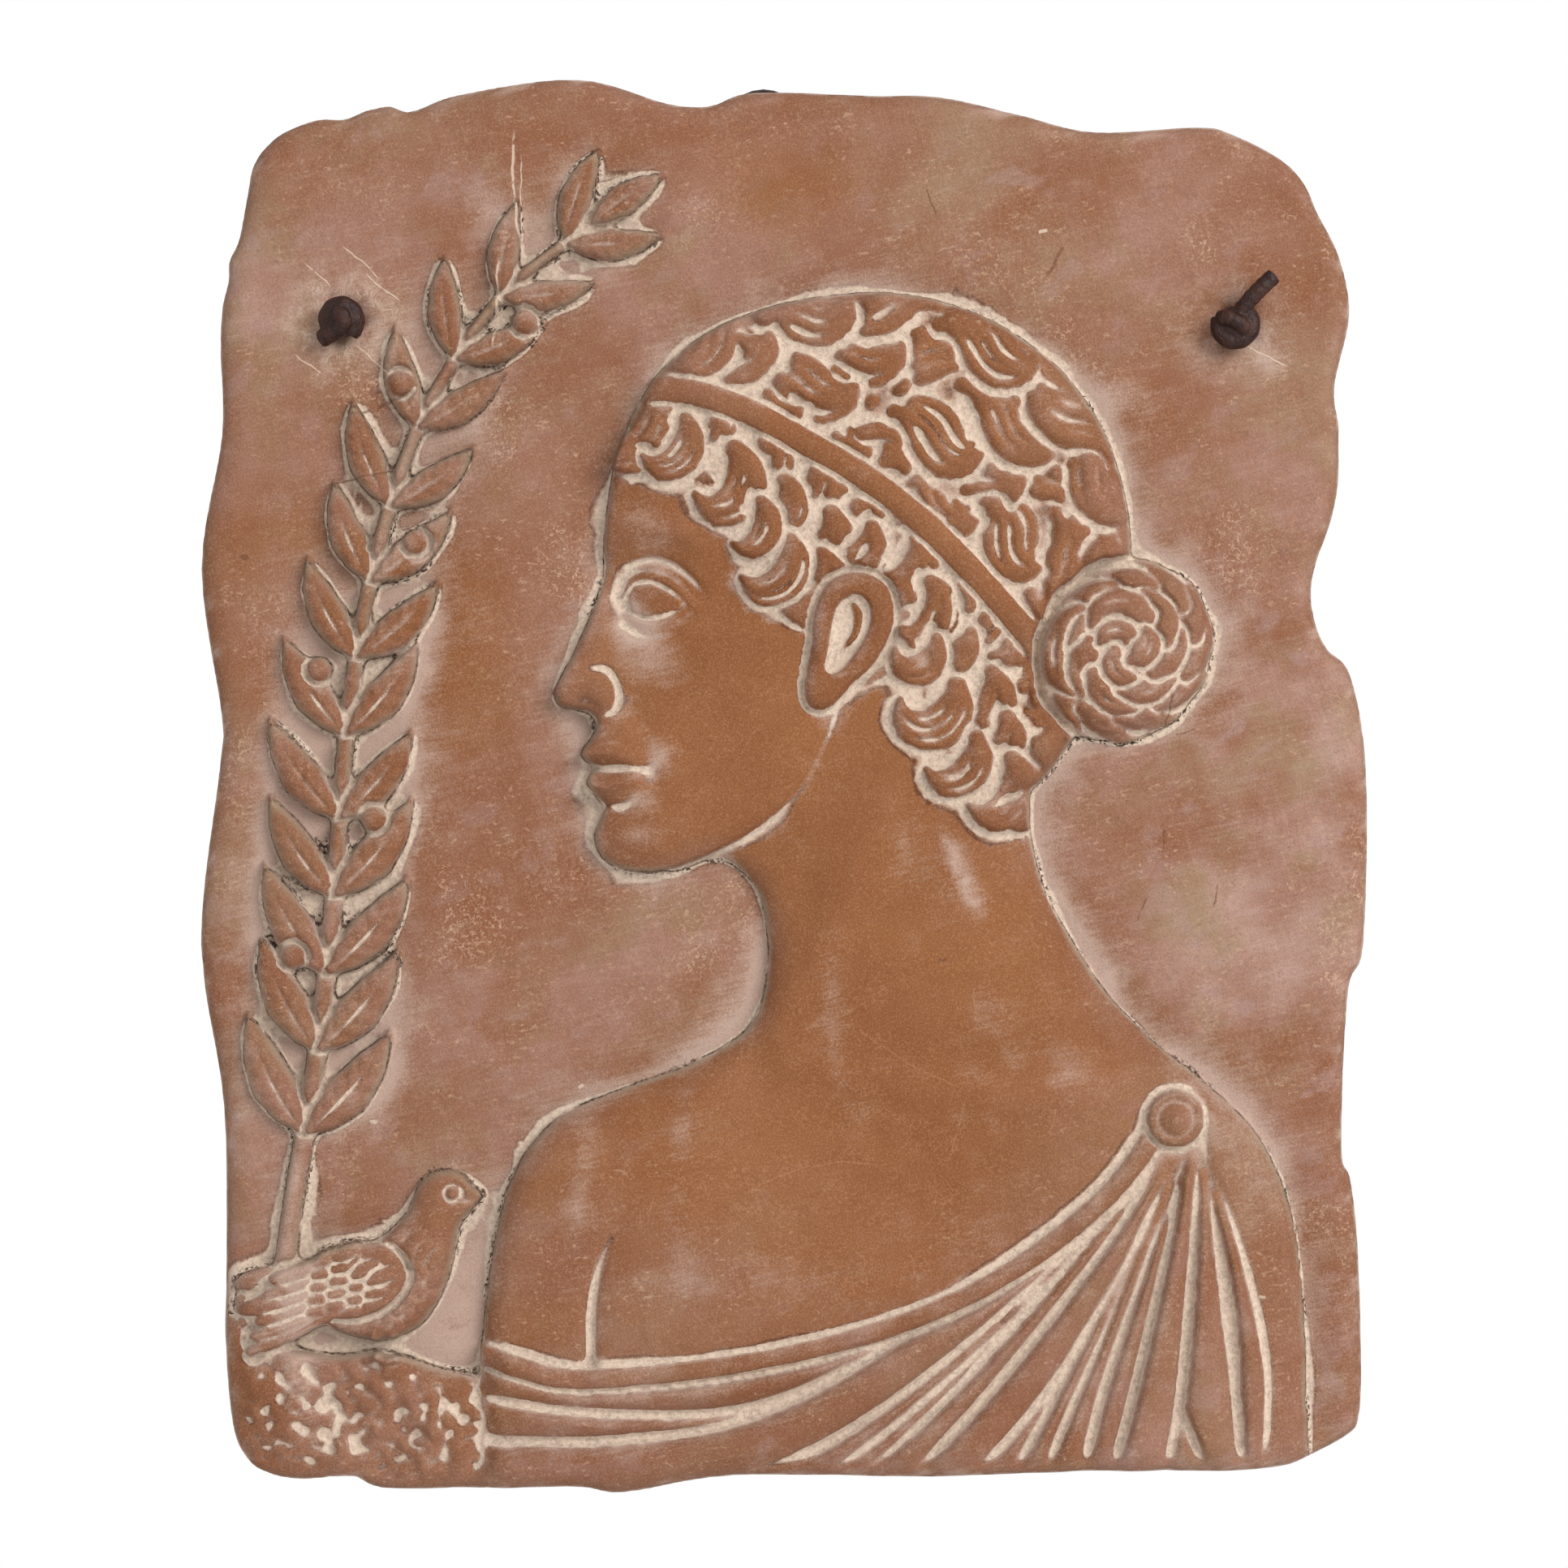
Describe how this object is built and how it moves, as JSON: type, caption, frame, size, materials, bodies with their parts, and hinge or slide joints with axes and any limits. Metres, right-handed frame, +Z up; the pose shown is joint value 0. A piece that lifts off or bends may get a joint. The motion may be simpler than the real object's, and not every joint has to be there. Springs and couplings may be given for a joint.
{
  "type": "decorative wall plaque",
  "caption": "Fired clay relief plaque with worn wavy edges: a profile bust, a laurel branch and a dove, hung on a knotted leather lace.",
  "frame": {"origin": "where the nail bears: the underside of the lace at its highest point, behind the slab", "axes": "+Z up, +Y towards the wall (the relief faces -Y), +X to the viewer's right"},
  "size_m": [0.271, 0.0349, 0.3275],
  "materials": {
    "terracotta": "matt fired clay, rubbed orange-brown on the high smooth parts, with a chalky pinkish haze on the ground and cream slip left in the recesses",
    "dark_leather": "dark brown round leather lace, worn and slightly waxy"
  },
  "bodies": {
    "root": {"terracotta_plaque": "terracotta", "leather_lace": "dark_leather"}
  },
  "joints": []
}
